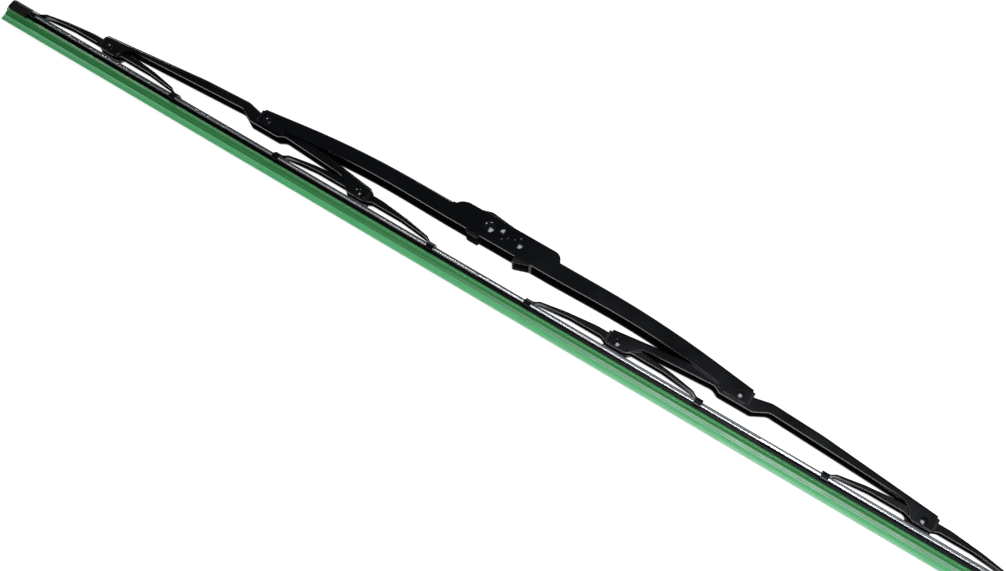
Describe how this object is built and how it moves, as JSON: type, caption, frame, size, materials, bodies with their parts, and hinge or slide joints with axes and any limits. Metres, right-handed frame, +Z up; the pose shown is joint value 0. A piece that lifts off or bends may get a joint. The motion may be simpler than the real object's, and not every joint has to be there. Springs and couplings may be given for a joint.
{
  "type": "windscreen wiper blade",
  "caption": "Framed windscreen wiper blade: black pressed-steel bridge with riveted levers and clawed yokes that hold a green rubber squeegee on spring rails, with a clip for a hook arm.",
  "frame": {"origin": "middle of the cross pin that the arm adapter turns on, in the blade's mirror plane", "axes": "+X along the blade towards the end that the picture cuts off, +Y from the rubber's lip to the bridge's back, +Z up and across the blade, which lies on its side"},
  "size_m": [0.653, 0.0456, 0.0148],
  "materials": {
    "black_coat": "satin",
    "black_plastic": "matte",
    "spring_steel": "bright",
    "squeegee_rubber": "matte"
  },
  "bodies": {
    "bridge": {"bridge": "black_coat", "arm_pin": "black_coat", "bridge_rivet_left": "black_coat", "bridge_rivet_right": "black_coat", "bridge_liner_left": "black_plastic", "bridge_liner_right": "black_plastic", "rubber": "squeegee_rubber", "rail_near": "spring_steel", "rail_far": "spring_steel"},
    "lever_left": {"lever_left": "black_coat", "yoke_rivet_1": "black_coat", "yoke_rivet_2": "black_coat", "yoke_liner_1": "black_plastic", "yoke_liner_2": "black_plastic"},
    "lever_right": {"lever_right": "black_coat", "yoke_rivet_3": "black_coat", "yoke_rivet_4": "black_coat", "yoke_liner_3": "black_plastic", "yoke_liner_4": "black_plastic"},
    "yoke_1": {"yoke_1": "black_coat", "end_cap_left": "black_plastic"},
    "yoke_2": {"yoke_2": "black_coat"},
    "yoke_3": {"yoke_3": "black_coat"},
    "yoke_4": {"yoke_4": "black_coat", "end_cap_right": "black_plastic"},
    "arm_adapter": {"arm_adapter": "black_plastic"}
  },
  "joints": [
    {"name": "lever_left_pivot", "type": "hinge", "parent": "bridge", "child": "lever_left", "pos_m": [-0.14062, -0.01107, 0], "axis": [0, 0, 1], "range_deg": [-1, 3.3], "stiffness_Nm_per_rad": 2.3, "deforming": ["rubber", "rail_near", "rail_far"]},
    {"name": "lever_right_pivot", "type": "hinge", "parent": "bridge", "child": "lever_right", "pos_m": [0.15942, -0.01107, 0], "axis": [0, 0, 1], "range_deg": [-3.35, 1.05]},
    {"name": "yoke_1_pivot", "type": "hinge", "parent": "lever_left", "child": "yoke_1", "pos_m": [-0.24799, -0.02007, 0], "axis": [0, 0, 1], "range_deg": [-0.57, 1.75]},
    {"name": "yoke_2_pivot", "type": "hinge", "parent": "lever_left", "child": "yoke_2", "pos_m": [-0.07289, -0.02007, 0], "axis": [0, 0, 1], "range_deg": [-1.75, 0.57]},
    {"name": "yoke_3_pivot", "type": "hinge", "parent": "lever_right", "child": "yoke_3", "pos_m": [0.09169, -0.02007, 0], "axis": [0, 0, 1], "range_deg": [-0.57, 1.75]},
    {"name": "yoke_4_pivot", "type": "hinge", "parent": "lever_right", "child": "yoke_4", "pos_m": [0.26678, -0.02007, 0], "axis": [0, 0, 1], "range_deg": [-1.75, 0.57]},
    {"name": "adapter_pivot", "type": "hinge", "parent": "bridge", "child": "arm_adapter", "pos_m": [0, 0, 0], "axis": [0, 0, 1], "range_deg": [-15, 15]}
  ],
  "couplings": [
    {"joint": "lever_right_pivot", "follows": "lever_left_pivot", "ratio": -1},
    {"joint": "yoke_1_pivot", "follows": "lever_left_pivot", "ratio": 0.515},
    {"joint": "yoke_2_pivot", "follows": "lever_left_pivot", "ratio": -0.515},
    {"joint": "yoke_3_pivot", "follows": "lever_left_pivot", "ratio": 0.515},
    {"joint": "yoke_4_pivot", "follows": "lever_left_pivot", "ratio": -0.515}
  ]
}
